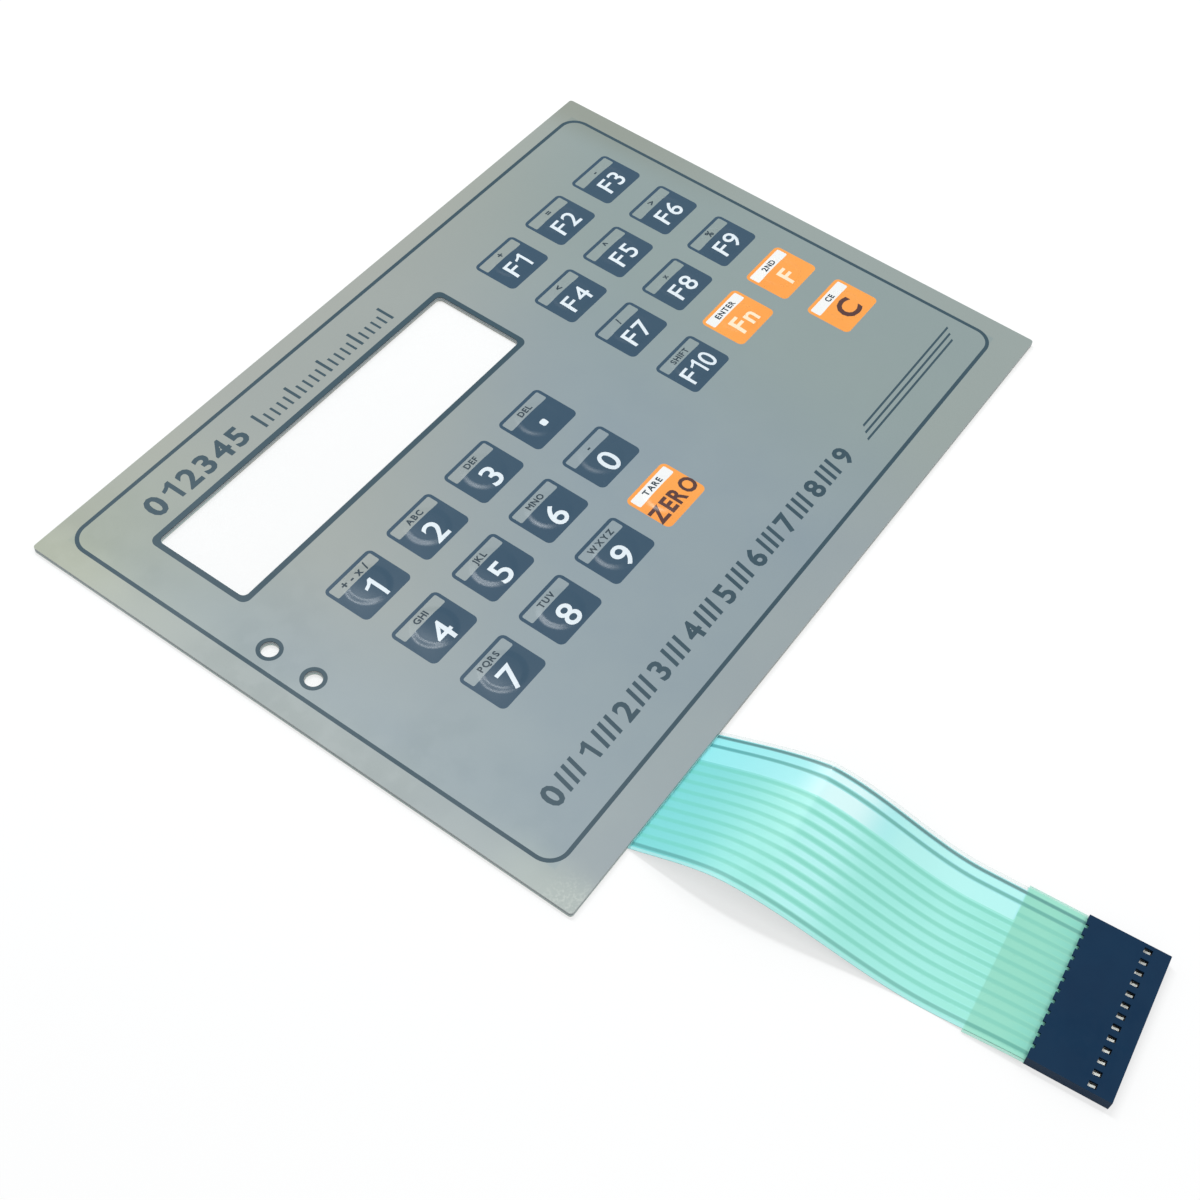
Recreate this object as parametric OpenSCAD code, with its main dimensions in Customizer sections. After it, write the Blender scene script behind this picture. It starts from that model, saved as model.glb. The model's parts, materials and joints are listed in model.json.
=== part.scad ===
// Flat membrane keypad panel: a printed overlay on a stack of bonded films, with snap domes,
// a two layer switch circuit and a flat tail that ends in a socket.
// X runs to the right and Y to the top edge as the keys are read. Z points out of the printed face.
// The origin is the centre of the rear face. All sizes are in millimetres.

/* [Panel] */
// Width of the panel
panel_w = 193; // [190:1:220]
// Height of the panel, as it is read
panel_h = 141.5; // [141.5:0.5:170]
// Radius of the panel's corners
panel_corner_r = 0.8; // [0.4:0.1:3]

/* [Layers, from the rear face up] */
// Release liner that covers the mounting adhesive
liner_t = 0.1; // [0.08:0.01:0.15]
// Mounting adhesive
rear_adhesive_t = 0.12; // [0.08:0.01:0.2]
// Film of the lower circuit and its tail
lower_film_t = 0.15; // [0.1:0.01:0.2]
// Spacer between the two circuits
circuit_spacer_t = 0.15; // [0.1:0.01:0.25]
// Film of the upper circuit
upper_film_t = 0.15; // [0.1:0.01:0.2]
// Spacer in which the snap domes sit
dome_spacer_t = 0.35; // [0.3:0.01:0.5]
// Retainer film that holds the domes down
retainer_t = 0.1; // [0.05:0.01:0.15]
// Adhesive under the printed overlay
overlay_adhesive_t = 0.05; // [0.03:0.01:0.1]
// Printed overlay film
overlay_t = 0.2; // [0.15:0.01:0.3]

/* [Keys] */
// Distance between keys in a row
key_pitch_x = 20; // [19:0.5:20]
// Distance between rows of keys
key_pitch_y = 18; // [17:0.5:18]
// Diameter of the raised ring round each key, at its foot
emboss_d = 11.2; // [10.4:0.1:11.6]
// Width of the ring's slope
emboss_slope = 2; // [1:0.1:2.4]
// Height of the ring above the overlay
emboss_h = 0.2; // [0.15:0.05:0.5]
// Extra rise at the middle of the key
emboss_crown = 0.08; // [0.05:0.01:0.15]
// Diameter of a snap dome
dome_d = 8.5; // [8:0.1:9]
// Thickness of a snap dome's sheet
dome_t = 0.07; // [0.05:0.01:0.1]

/* [Windows] */
// Width of the clear display window
display_w = 95.4; // [90:0.1:96]
// Height of the clear display window
display_h = 24.4; // [20:0.1:25]
// Diameter of an indicator window
indicator_d = 3.9; // [3:0.1:4.4]

/* [Tail and socket] */
// Number of ways in the socket
ways = 13; // [13:1:13]
// Distance between ways
way_pitch = 2.54; // [2.54:0.01:2.54]
// Width of the tail's film
tail_w = 33.2; // [32.8:0.1:33.4]
// Length of the tail from the panel's edge to the socket, seen from above
tail_l = 82.3; // [78:0.1:90]
// Width of the stiffener under the tail's end, a little more than the film's
stiffener_w = 34.4; // [33.4:0.1:35]
// Angle by which the tail lies out of square
tail_skew = 5.5; // [4:0.5:7]
// Height of the tail's hump at its right edge
hump_right = 9.9; // [8:0.1:11]
// Height of the tail's hump at its left edge
hump_left = 7.2; // [5:0.1:8]
// Length of the socket's housing
housing_l = 16.9; // [16:0.1:18]
// Thickness of the socket's housing
housing_t = 2.9; // [2.9:0.1:3.4]

/* [Hidden] */
// Facets of a curve, which is a true circle above 12
$fn = 48;
// Overhang that keeps a cut clear of the faces that it goes through
eps = 0.5;

// Height of the underside of each layer
z_liner = 0;
z_rear_adhesive = z_liner + liner_t;
z_lower_film = z_rear_adhesive + rear_adhesive_t;
z_circuit_spacer = z_lower_film + lower_film_t;
z_upper_film = z_circuit_spacer + circuit_spacer_t;
z_dome_spacer = z_upper_film + upper_film_t;
z_retainer = z_dome_spacer + dome_spacer_t;
z_overlay_adhesive = z_retainer + retainer_t;
z_overlay = z_overlay_adhesive + overlay_adhesive_t;

// Centre of the first key of the number block and of the function block
number_key_1 = [-60.7, 9.05];
function_key_1 = [36.6, 44.85];
// Each key is its name, its column and its row
NUMBER_KEYS = [
    ["1", 0, 0], ["2", 1, 0], ["3", 2, 0], ["point", 3, 0],
    ["4", 0, 1], ["5", 1, 1], ["6", 2, 1], ["0", 3, 1],
    ["7", 0, 2], ["8", 1, 2], ["9", 2, 2], ["zero", 3, 2]
];
FUNCTION_KEYS = [
    ["f1", 0, 0], ["f2", 1, 0], ["f3", 2, 0],
    ["f4", 0, 1], ["f5", 1, 1], ["f6", 2, 1],
    ["f7", 0, 2], ["f8", 1, 2], ["f9", 2, 2],
    ["f10", 0, 3], ["fn", 1, 3], ["f", 2, 3],
    ["clear", 2, 4]
];
function key_at(first, key) = [first[0] + key[1] * key_pitch_x, first[1] - key[2] * key_pitch_y];
KEYS = concat(
    [for (key = NUMBER_KEYS) [key[0], key_at(number_key_1, key)]],
    [for (key = FUNCTION_KEYS) [key[0], key_at(function_key_1, key)]]
);

// Windows
display_at = [-31.45, 39.35];
display_corner_r = 1.4;
indicator_at = [[-85.7, 14.2], [-85.7, 2.4]];

// Openings in the films for the keys
dome_hole_d = dome_d + 0.8;
contact_hole_d = 6;
vent_w = 1;
// Radius of the sphere that a dome is cut from
dome_r = (pow(dome_d / 2, 2) + pow(dome_spacer_t, 2)) / (2 * dome_spacer_t);

// Tail, in its own frame: X runs across it and -Y along it, from the middle of its exit.
// It is flat until just outside the panel's edge, and rises from there.
tail_flat_l = 0.1;
tail_exit = [-61.3, -panel_h / 2 - tail_flat_l];
tail_root = 6;
tail_steps = 40;
square_at = 26;
dip_at = 61.5;
exit_slope = 0.42;
// For each edge, where its hump is, the hump's height, the slope up to its crest, and the dip's height
RIGHT_EDGE = [26, hump_right, 0.2, 1.5];
LEFT_EDGE = [20, hump_left, 0, 0.09];
TAIL_LENGTHS = [for (i = [0:tail_steps]) tail_l * i / tail_steps];
film_mid_exit = z_lower_film + lower_film_t / 2;
film_mid_socket = housing_t / 2;
// The stiffener starts at one of the tail's steps. A line of bonding glue lies between it and the film.
stiffener_steps = 6;
stiffener_t = 0.08;
glue_line = 0.02;

// Socket
housing_w = (ways - 1) * way_pitch + 2.9;
film_tab_w = housing_w - 1.4;
film_tab_l = 6.4;
film_slot_h = 0.6;
cavity_w = 1.9;
cavity_h = 2;
cavity_l = housing_l - 1.1;
entry_w = 1;
window_w = 1.2;
window_l = 1.7;
window_at = 12.5;
slit_w = 0.9;
slit_l = 0.65;

// Contact: a base strip, tines crimped through the film and a sprung box for the pin
contact_sheet = 0.2;
strip_w = 1.5;
box_w = 1.6;
box_from = 8;
box_to = 15.3;
tine_l = 0.8;
tine_inset = 0.3;
tine_pitch = 1.8;
tine_count = 3;
tine_from = 0.9;
strip_z = film_mid_socket - lower_film_t / 2 - glue_line - stiffener_t - contact_sheet;
tine_h = film_mid_socket + lower_film_t / 2 + 0.45 - strip_z;

function way_x(way) = ((ways - 1) / 2 - way) * way_pitch;
function two_digits(number) = str(number < 10 ? "0" : "", number);

LAYERS = [
    "graphic_overlay", "overlay_adhesive", "dome_retainer", "dome_spacer", "upper_circuit",
    "circuit_spacer", "lower_circuit", "tail_stiffener", "rear_adhesive", "release_liner"
];

// Cubic curve from height z0 with slope m0 to height z1 with slope m1, over the length l
function blend(t, l, z0, m0, z1, m1) =
    (2 * t * t * t - 3 * t * t + 1) * z0 + (t * t * t - 2 * t * t + t) * l * m0
    + (3 * t * t - 2 * t * t * t) * z1 + (t * t * t - t * t) * l * m1;
// Height of the middle of the tail's film at the length s, for one edge. The right edge has a crease at its crest.
function film_height(s, edge) = let (hump_at = edge[0], hump = edge[1], crest_slope = edge[2], dip = edge[3])
    s <= 0 ? film_mid_exit
    : s < hump_at ? blend(s / hump_at, hump_at, film_mid_exit, exit_slope, hump, crest_slope)
    : s < dip_at ? blend((s - hump_at) / (dip_at - hump_at), dip_at - hump_at, hump, 0, dip, 0)
    : s < tail_l ? blend((s - dip_at) / (tail_l - dip_at), tail_l - dip_at, dip, 0, film_mid_socket, 0)
    : film_mid_socket;
// Point of the film at the length s and the distance w from its middle line, half a film up or down.
// Near its exit each line across the film is parallel to the panel's edge, and further on it is square.
function film_point(s, w, side, t, extra) =
    [w, -s - w * tan(tail_skew) * (1 - min(max(s / square_at, 0), 1)),
     film_height(s, w > 0 ? RIGHT_EDGE : LEFT_EDGE) + side * t / 2 + extra];

// Outline of the films
module panel_outline() {
    x = panel_w / 2 - panel_corner_r;
    y = panel_h / 2 - panel_corner_r;
    square([2 * x, panel_h], center = true);
    square([panel_w, 2 * y], center = true);
    for (i = [-1, 1], j = [-1, 1]) translate([i * x, j * y]) circle(r = panel_corner_r);
}

// Openings behind the display and the two indicators
module window_outlines() {
    x = display_w / 2 - display_corner_r;
    y = display_h / 2 - display_corner_r;
    translate(display_at) {
        square([2 * x, display_h], center = true);
        square([display_w, 2 * y], center = true);
        for (i = [-1, 1], j = [-1, 1]) translate([i * x, j * y]) circle(r = display_corner_r);
    }
    for (at = indicator_at) translate(at) circle(d = indicator_d);
}

// Holes of one diameter at every key, with vents along each row where asked
module key_holes(d, vented) {
    for (key = KEYS) translate(key[1]) circle(d = d);
    if (vented) {
        for (row = [0:2]) row_vent(number_key_1, row, 0, 3);
        for (row = [0:3]) row_vent(function_key_1, row, 0, 2);
        translate(key_at(function_key_1, ["", 2, 3.5])) square([vent_w, key_pitch_y], center = true);
    }
}

module row_vent(first, row, from, to) {
    translate(key_at(first, ["", (from + to) / 2, row]))
        square([(to - from) * key_pitch_x, vent_w], center = true);
}

// One flat film with the window openings
module film(z, t) {
    translate([0, 0, z]) linear_extrude(t) difference() {
        panel_outline();
        window_outlines();
        children();
    }
}

// Section of one raised key, from its middle to the foot of the ring
module emboss_section() {
    foot = emboss_d / 2;
    rim = foot - emboss_slope;
    crown = [for (i = [0:4]) [rim * i / 4, emboss_h + emboss_crown * (1 - pow(i / 4, 2))]];
    slope = [for (i = [1:6]) [rim + emboss_slope * i / 6, emboss_h * (1 + cos(180 * i / 6)) / 2]];
    inner = concat(crown, slope);
    polygon(concat(inner, [for (i = [len(inner) - 1:-1:0]) inner[i] + [0, overlay_t]]));
}

// Printed film, clear over the windows, with a raised ring and crown at each key
module graphic_overlay() {
    color([0.62, 0.66, 0.64]) {
        translate([0, 0, z_overlay]) linear_extrude(overlay_t) difference() {
            panel_outline();
            key_holes(emboss_d, false);
        }
        for (key = KEYS) translate([key[1][0], key[1][1], z_overlay]) rotate_extrude() emboss_section();
    }
}

// Adhesive that is open under each key
module overlay_adhesive() {
    color([0.3, 0.34, 0.37]) film(z_overlay_adhesive, overlay_adhesive_t) key_holes(emboss_d, false);
}

// Thin film that keeps every dome in its hole
module dome_retainer() {
    color([0.85, 0.87, 0.85]) film(z_retainer, retainer_t);
}

// Spacer with a round seat for each dome and a vent along each row
module dome_spacer() {
    color([0.2, 0.24, 0.28]) film(z_dome_spacer, dome_spacer_t) key_holes(dome_hole_d, true);
}

// Thin steel dome that snaps down under a finger
module snap_dome(key) {
    edge = asin(dome_d / 2 / dome_r);
    outer = [for (i = [0:8]) let (a = edge * i / 8) dome_r * [sin(a), cos(a)]];
    inner = [for (i = [8:-1:0]) let (a = edge * i / 8) (dome_r - dome_t) * [sin(a), cos(a)]];
    color([0.78, 0.78, 0.76]) translate([key[1][0], key[1][1], z_retainer - dome_r])
        rotate_extrude() intersection() {
            polygon(concat(outer, inner));
            translate([0, dome_r - dome_spacer_t]) square([dome_d, dome_spacer_t]);
        }
}

// Flexible circuit under the domes
module upper_circuit() {
    color([0.7, 0.78, 0.74]) film(z_upper_film, upper_film_t);
}

// Spacer that keeps the circuits apart, open at each key
module circuit_spacer() {
    color([0.9, 0.9, 0.86]) film(z_circuit_spacer, circuit_spacer_t) key_holes(contact_hole_d, true);
}

// Places its children in the tail's frame
module in_tail_frame() {
    translate([tail_exit[0], tail_exit[1], 0]) rotate([0, 0, tail_skew]) children();
}

// Curved strip of the tail through a list of lengths, one closed skin of four long faces.
// The faces above and below a film share their diagonals, so that a strip bonded to it fits face to face.
module curved_strip(lengths, w, t, extra) {
    rings = [for (s = lengths) each [
        film_point(s, -w / 2, -1, t, extra), film_point(s, w / 2, -1, t, extra),
        film_point(s, w / 2, 1, t, extra), film_point(s, -w / 2, 1, t, extra)
    ]];
    last = 4 * (len(lengths) - 1);
    sides = [for (i = [0:len(lengths) - 2], j = [0:3])
        let (a = 4 * i + j, b = 4 * i + (j + 1) % 4)
        each j == 2 ? [[a, a + 4, b], [b, a + 4, b + 4]] : [[a, b + 4, b], [a, a + 4, b + 4]]];
    polyhedron(rings, concat(sides, [[0, 1, 2, 3], [last + 3, last + 2, last + 1, last]]));
}

// Slots that the crimped tines pierce in the film's end
module tine_slots(z, t) {
    for (way = [0:ways - 1], side = [-1, 1], i = [0:tine_count - 1])
        translate([way_x(way) + side * (strip_w - contact_sheet) / 2, -tail_l - tine_from - i * tine_pitch, z])
            translate([-contact_sheet / 2, -tine_l, 0]) cube([contact_sheet, tine_l, t]);
}

// Lower circuit and its tail, cut from one film
module lower_circuit() {
    color([0.55, 0.92, 0.85]) {
        film(z_lower_film, lower_film_t);
        in_tail_frame() {
            curved_strip(concat([-tail_root], TAIL_LENGTHS), tail_w, lower_film_t, 0);
            difference() {
                translate([-film_tab_w / 2, -tail_l - film_tab_l, film_mid_socket - lower_film_t / 2])
                    cube([film_tab_w, film_tab_l + 0.01, lower_film_t]);
                tine_slots(film_mid_socket - eps, 2 * eps);
            }
        }
    }
}

// Strip bonded under the tail's end, to stiffen it for the crimped contacts.
// It stands out past both edges of the film, up to the tab that goes into the housing.
module tail_stiffener() {
    drop = -(lower_film_t + stiffener_t) / 2 - glue_line;
    color([0.5, 0.8, 0.62]) in_tail_frame() {
        curved_strip([for (i = [tail_steps - stiffener_steps:tail_steps]) TAIL_LENGTHS[i]],
            stiffener_w, stiffener_t, drop);
        difference() {
            translate([-film_tab_w / 2, -tail_l - film_tab_l, strip_z + contact_sheet])
                cube([film_tab_w, film_tab_l + 0.01, stiffener_t]);
            tine_slots(film_mid_socket - eps, 2 * eps);
        }
    }
}

// Adhesive that fixes the panel to its carrier
module rear_adhesive() {
    color([0.93, 0.93, 0.88]) film(z_rear_adhesive, rear_adhesive_t);
}

// Liner that is peeled off before the panel is fixed
module release_liner() {
    color([0.95, 0.93, 0.85]) film(z_liner, liner_t);
}

// Moulded housing with a cavity, a pin entry and a top window for each way
module connector_housing() {
    color([0.11, 0.2, 0.32]) in_tail_frame() translate([0, -tail_l, 0]) difference() {
        translate([-housing_w / 2, -housing_l, 0]) cube([housing_w, housing_l, housing_t]);
        translate([-film_tab_w / 2 - 0.15, -film_tab_l - 0.3, (housing_t - film_slot_h) / 2])
            cube([film_tab_w + 0.3, film_tab_l + eps + 0.3, film_slot_h]);
        for (way = [0:ways - 1]) translate([way_x(way), 0, housing_t / 2]) {
            translate([-cavity_w / 2, -cavity_l, -cavity_h / 2]) cube([cavity_w, cavity_l + eps, cavity_h]);
            translate([-entry_w / 2, -housing_l - eps, -entry_w / 2]) cube([entry_w, housing_l, entry_w]);
            translate([-window_w / 2, -window_at - window_l / 2, 0]) cube([window_w, window_l, housing_t]);
        }
        for (way = [0:ways - 2]) translate([way_x(way) - way_pitch / 2 - slit_w / 2, -slit_l, -eps])
            cube([slit_w, slit_l + eps, housing_t + 2 * eps]);
    }
}

// Stamped contact: strip, tines folded over the film, pin box and a lance in the window
module contact(way) {
    color([0.85, 0.83, 0.76]) in_tail_frame() translate([way_x(way), -tail_l, 0]) {
        translate([-strip_w / 2, -box_from, strip_z])
            cube([strip_w, box_from - tine_from + 0.2, contact_sheet]);
        for (side = [-1, 1], i = [0:tine_count - 1])
            translate([side * (strip_w - contact_sheet) / 2, -tine_from - i * tine_pitch, strip_z]) {
                translate([-contact_sheet / 2, -tine_l, 0]) cube([contact_sheet, tine_l, tine_h]);
                translate([-contact_sheet / 2 - (side > 0 ? tine_inset : 0), -tine_l, tine_h - contact_sheet])
                    cube([contact_sheet + tine_inset, tine_l, contact_sheet]);
            }
        translate([0, 0, housing_t / 2]) difference() {
            translate([-box_w / 2, -box_to, -box_w / 2]) cube([box_w, box_to - box_from + 0.01, box_w]);
            translate([-box_w / 2 + contact_sheet, -box_to - eps, -box_w / 2 + contact_sheet])
                cube([box_w - 2 * contact_sheet, box_to - box_from + 2 * eps, box_w - 2 * contact_sheet]);
            translate([-window_w / 2 + 0.1, -window_at - window_l / 2, 0])
                cube([window_w - 0.2, window_l - 0.3, box_w]);
        }
        translate([-0.25, -window_at + window_l / 2 - 0.3, housing_t / 2 + box_w / 2 - contact_sheet])
            rotate([-12, 0, 0]) translate([0, -1.2, 0]) cube([0.5, 1.3, 0.12]);
    }
}

graphic_overlay();
overlay_adhesive();
dome_retainer();
dome_spacer();
upper_circuit();
circuit_spacer();
lower_circuit();
tail_stiffener();
rear_adhesive();
release_liner();
for (key = KEYS)
    snap_dome(key);
connector_housing();
for (way = [1:ways])
    contact(way - 1);
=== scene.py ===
# %% [markdown]
# # A membrane keypad with a flat tail
# The object is a flat stack of films: a printed top film with raised rings over snap domes, two
# circuit films, spacers, adhesives and a liner. One circuit film runs on as a tail to a socket.
# The CAD model holds every layer at its real size. This script gives each surface its finish,
# and replaces two plain films with finer ones: the printed film, and the film with the tail.
#
# Sizes are written in millimetres, as on a drawing, and are turned into metres with MM.

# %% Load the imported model
import json
import math
from collections import Counter

import bpy
from mathutils import Euler, Matrix, Vector
from mathutils.geometry import delaunay_2d_cdt

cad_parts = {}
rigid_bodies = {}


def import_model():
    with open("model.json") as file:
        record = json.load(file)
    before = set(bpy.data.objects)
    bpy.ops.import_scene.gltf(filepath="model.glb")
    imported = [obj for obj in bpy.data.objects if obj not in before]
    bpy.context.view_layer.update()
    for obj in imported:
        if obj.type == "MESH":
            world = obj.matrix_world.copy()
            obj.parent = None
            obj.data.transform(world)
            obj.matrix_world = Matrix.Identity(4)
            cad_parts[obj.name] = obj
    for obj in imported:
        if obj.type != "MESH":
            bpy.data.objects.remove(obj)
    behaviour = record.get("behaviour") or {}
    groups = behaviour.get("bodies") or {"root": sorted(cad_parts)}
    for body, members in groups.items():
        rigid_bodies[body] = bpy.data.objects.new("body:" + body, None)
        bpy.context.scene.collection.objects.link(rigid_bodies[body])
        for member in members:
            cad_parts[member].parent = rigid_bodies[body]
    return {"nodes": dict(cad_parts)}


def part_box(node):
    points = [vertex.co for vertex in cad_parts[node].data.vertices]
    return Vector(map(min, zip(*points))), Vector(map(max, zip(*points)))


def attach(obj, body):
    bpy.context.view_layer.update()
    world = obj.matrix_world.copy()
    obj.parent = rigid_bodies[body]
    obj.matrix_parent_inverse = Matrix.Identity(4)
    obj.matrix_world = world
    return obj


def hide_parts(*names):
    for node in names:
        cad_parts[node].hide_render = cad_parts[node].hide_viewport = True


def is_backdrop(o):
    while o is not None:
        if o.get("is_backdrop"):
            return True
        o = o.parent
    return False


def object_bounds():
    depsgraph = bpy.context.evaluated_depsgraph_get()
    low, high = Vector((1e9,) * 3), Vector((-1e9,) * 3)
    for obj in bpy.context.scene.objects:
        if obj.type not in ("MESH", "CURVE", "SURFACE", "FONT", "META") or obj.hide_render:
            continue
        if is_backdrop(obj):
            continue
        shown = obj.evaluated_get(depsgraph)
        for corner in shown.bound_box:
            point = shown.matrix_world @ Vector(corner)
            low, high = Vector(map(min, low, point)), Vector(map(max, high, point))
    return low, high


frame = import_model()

MM = 0.001
cad_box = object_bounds()
nodes = frame["nodes"]
print("nodes in the frame:", len(nodes))

# %% [markdown]
# ## The camera
# The camera is low over the left end of the panel, as in the photograph, so that the panel runs away to
# the upper right. Its place and turn were fitted to the panel's edges and keys, its shift to the crop.

# %% Camera
CAMERA_PLACE = Vector((-219.284, -144.006, 301.101)) * MM
CAMERA_TURN = Euler([math.radians(angle) for angle in (35.583, -4.668, -55.318)])


def add_object(name, data):
    """Make an object of some data and put it in the scene."""
    made = bpy.data.objects.new(name, data)
    bpy.context.scene.collection.objects.link(made)
    return made


camera_data = bpy.data.cameras.new("camera")
camera_data.lens = 51.83
camera_data.sensor_width = 36
camera_data.shift_x = -0.0416
camera_data.shift_y = 0.0058
camera = add_object("camera", camera_data)
camera.location = CAMERA_PLACE
camera.rotation_euler = CAMERA_TURN
bpy.context.scene.camera = camera
bpy.context.scene.view_settings.view_transform = "Standard"

# %% [markdown]
# ## Short helpers for node trees
# Shader trees and geometry trees are nodes joined socket to socket. Here a node's output is held as a
# Value, and a sum of values with + - * / adds the Math nodes that do it. So a height or a colour's share
# can be read as a formula.

# %% Values and sums
class Value:
    """A node's output. Sums on it add Math nodes, and [name] gives the node's other outputs."""

    def __init__(self, socket):
        self.socket = socket
        self.node = socket.node
        self.tree = socket.id_data

    def __getitem__(self, name):
        return Value(self.node.outputs[name])

    def __add__(self, other):
        return calc("ADD", self, other)

    def __sub__(self, other):
        return calc("SUBTRACT", self, other)

    def __rsub__(self, other):
        return calc("MULTIPLY_ADD", self, -1, other)

    def __mul__(self, other):
        return calc("MULTIPLY", self, other)

    def __truediv__(self, other):
        return calc("DIVIDE", self, other)


def fill(node, inputs):
    """Give each named or numbered input of a node a plain value or a link."""
    for name, value in inputs.items():
        if isinstance(value, Value):
            node.id_data.links.new(value.socket, node.inputs[name])
        else:
            node.inputs[name].default_value = value


def put(tree, kind, inputs=None, **settings):
    """Add a node with its settings and inputs, and give its first output, if it has one."""
    made = tree.nodes.new(kind)
    for name, value in settings.items():
        setattr(made, name, value)
    fill(made, inputs or {})
    return Value(made.outputs[0]) if made.outputs else None


def calc(operation, *values, kind="ShaderNodeMath", **settings):
    """Do one sum in the tree of the first value."""
    return put(values[0].tree, kind, dict(enumerate(values)), operation=operation, **settings)


def vector_calc(operation, *values):
    """Do one sum with vectors."""
    return calc(operation, *values, kind="ShaderNodeVectorMath")


def axes_of(place):
    """Split a place into its X, Y and Z."""
    return put(place.tree, "ShaderNodeSeparateXYZ", {0: place})

# %% Ramps, mixes, colours and groups
TYPE_OF_OUTPUT = {"VALUE": "Float", "RGBA": "Color", "GEOMETRY": "Geometry"}
ORIGIN = (0.0, 0.0, 0.0)
WHITE = (1.0, 1.0, 1.0, 1.0)


def ramp(value, low, high, start=0.0, end=1.0):
    """Turn low..high into start..end with soft ends, and hold it outside."""
    inputs = {"Value": value, "From Min": low, "From Max": high, "To Min": start, "To Max": end}
    return put(value.tree, "ShaderNodeMapRange", inputs, interpolation_type="SMOOTHSTEP")


def blend_colours(share, first, second):
    """Mix two colours by a share from 0 to 1."""
    return put(share.tree, "ShaderNodeMix", {0: share, 6: first, 7: second}, data_type="RGBA")[2]


def screen(colour):
    """Turn three screen values from 0 to 255 into a shader's linear colour."""
    shares = [value / 255 for value in colour]
    linear = [s / 12.92 if s <= 0.04045 else ((s + 0.055) / 1.055) ** 2.4 for s in shares]
    return (*linear, 1.0)


def type_of(default):
    """Name the type of input that holds a default: a place, a colour or a number."""
    if isinstance(default, tuple):
        return "Vector" if len(default) == 3 else "Color"
    return "Int" if isinstance(default, int) else "Float"


def new_group(name, inputs, kind="GeometryNodeTree"):
    """Start a node group. Each input is a default, or in words the type of one that has none."""
    tree = bpy.data.node_groups.new(name, kind)
    for title, default in inputs.items():
        named = isinstance(default, str)
        socket_type = "NodeSocket" + (default if named else type_of(default))
        made = tree.interface.new_socket(title, in_out="INPUT", socket_type=socket_type)
        if not named:
            made.default_value = default
    return tree, Value(tree.nodes.new("NodeGroupInput").outputs[0])


def close_group(tree, results):
    """Let a group put its results out under their names."""
    for title, value in results.items():
        socket_type = "NodeSocket" + TYPE_OF_OUTPUT[value.socket.type]
        tree.interface.new_socket(title, in_out="OUTPUT", socket_type=socket_type)
    fill(tree.nodes.new("NodeGroupOutput"), results)

# %% [markdown]
# ## Floor, lamps and surroundings
# The photograph has a plain white ground. Lamps that light a floor to white would wash out the print.
# So the floor glows for the camera, for mirrors and for clear film only, and diffuse paint adds the
# rest. Where the panel takes light away from the paint, a soft shadow stays.

# %% Floor
FLOOR_SIZE = 12.0
FLOOR_GAP = 0.03 * MM
FLOOR_PAINT = 0.4
FLOOR_GLOW = 0.62


def empty_tree(owner):
    """Give the tree of a material or a world without its ready-made nodes."""
    owner.use_nodes = True
    owner.node_tree.nodes.clear()
    return owner.node_tree


def seen_directly(tree):
    """Be 1 for rays from the camera, from a mirror or through clear film, else 0."""
    path = put(tree, "ShaderNodeLightPath")
    seen = calc("MAXIMUM", path["Is Camera Ray"], path["Is Glossy Ray"])
    return calc("MAXIMUM", seen, path["Is Transmission Ray"])


floor_paint = bpy.data.materials.new("floor_paint")
tree = empty_tree(floor_paint)
paint = put(tree, "ShaderNodeBsdfDiffuse", {"Color": (FLOOR_PAINT, FLOOR_PAINT, FLOOR_PAINT, 1)})
glow = put(tree, "ShaderNodeEmission", {"Strength": seen_directly(tree) * FLOOR_GLOW})
both = put(tree, "ShaderNodeAddShader", {0: paint, 1: glow})
put(tree, "ShaderNodeOutputMaterial", {"Surface": both})

floor_z = cad_box[0][2] - FLOOR_GAP
half = FLOOR_SIZE / 2
corners = [(x * half, y * half, floor_z) for x, y in ((-1, -1), (1, -1), (1, 1), (-1, 1))]
floor_mesh = bpy.data.meshes.new("floor")
floor_mesh.from_pydata(corners, [], [(0, 1, 2, 3)])
floor_mesh.materials.append(floor_paint)
floor = add_object("floor", floor_mesh)
floor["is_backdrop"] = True
print("floor height in mm:", round(floor_z / MM, 3))

# %% Lamps and world
LAMP_HEIGHT = 0.9
WORLD_LIGHT = 0.375
WORLD_SEEN = 0.77


def hang_softbox(name, x, y, size, power, colour=(1, 1, 1)):
    """Hang a lamp, wide along X and deep along Y, face down over a place. All is in metres and watts."""
    lamp_data = bpy.data.lights.new(name, "AREA")
    lamp_data.shape = "RECTANGLE"
    lamp_data.size, lamp_data.size_y = size
    lamp_data.energy = power
    lamp_data.color = colour
    add_object(name, lamp_data).location = (x, y, LAMP_HEIGHT)


# The skylight is a long bar. Its mirror image lies just off the panel's left end for this camera, so
# that end shines a little, and the left of each raised ring catches it as a thin double glint.
hang_softbox("skylight", 0.2, 0.38, (0.1, 0.6), 5.3, (0.96, 0.99, 1.0))
hang_softbox("room_light", -0.25, -0.45, (0.5, 0.5), 2.0)
hang_softbox("tail_light", 0.476, -0.37, (0.3, 0.3), 1.3)

# The world looks as pale as the far floor, so that no horizon shows.
world = bpy.data.worlds.new("studio")
bpy.context.scene.world = world
tree = empty_tree(world)
strength = seen_directly(tree) * (WORLD_SEEN - WORLD_LIGHT) + WORLD_LIGHT
sky = put(tree, "ShaderNodeBackground", {"Color": WHITE, "Strength": strength})
put(tree, "ShaderNodeOutputWorld", {"Surface": sky})
print("lamps:", [lamp.name for lamp in bpy.data.lights])

# %% [markdown]
# ## Effects that many finishes share
# Film, ink, plastic and metal show the same few things in different amounts: the colour drifts, the
# surface has a fine grain, hands leave rubbed patches, and rolling or drawing leaves lines. Each effect
# is one shader group, so that every material can use it with its own numbers.

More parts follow.
